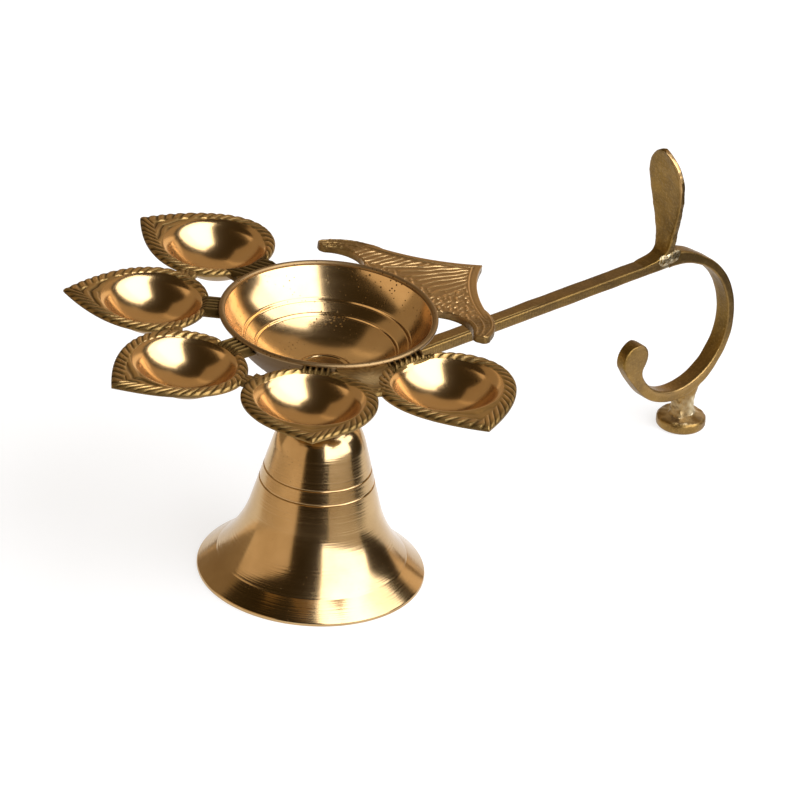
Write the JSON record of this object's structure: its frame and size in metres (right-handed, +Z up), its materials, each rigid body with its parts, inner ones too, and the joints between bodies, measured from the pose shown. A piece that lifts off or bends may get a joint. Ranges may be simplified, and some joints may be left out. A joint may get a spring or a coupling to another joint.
{
  "type": "hand-held brass oil lamp on a bell stand",
  "caption": "Brass hand lamp: leaf-shaped wick cups round an oil bowl on a bell-shaped stand, with a tail plate and a long handle ending in a thumb rest, a finger curl and a small foot.",
  "frame": {"origin": "centre of the bell stand's rim on the table", "axes": "+X along the handle, from the lamp to the foot; +Z up"},
  "size_m": [0.2179, 0.1369, 0.0894],
  "materials": {
    "turned_brass": "turned on a lathe, satin",
    "polished_brass": "polished inside, turned outside",
    "leaf_brass": "cast, with polished cups and a chased rope edge",
    "cast_brass": "sand cast, worn and darkened"
  },
  "bodies": {
    "root": {"bell_stand": "turned_brass", "stand_washer": "turned_brass", "stand_nut": "turned_brass", "center_stud": "turned_brass", "oil_bowl": "polished_brass", "leaf_cup_1": "leaf_brass", "leaf_cup_2": "leaf_brass", "leaf_cup_3": "leaf_brass", "leaf_cup_4": "leaf_brass", "leaf_cup_5": "leaf_brass", "tail_plate": "cast_brass", "handle_bar": "cast_brass", "thumb_rest": "cast_brass", "finger_curl": "cast_brass", "handle_foot": "cast_brass"}
  },
  "joints": []
}
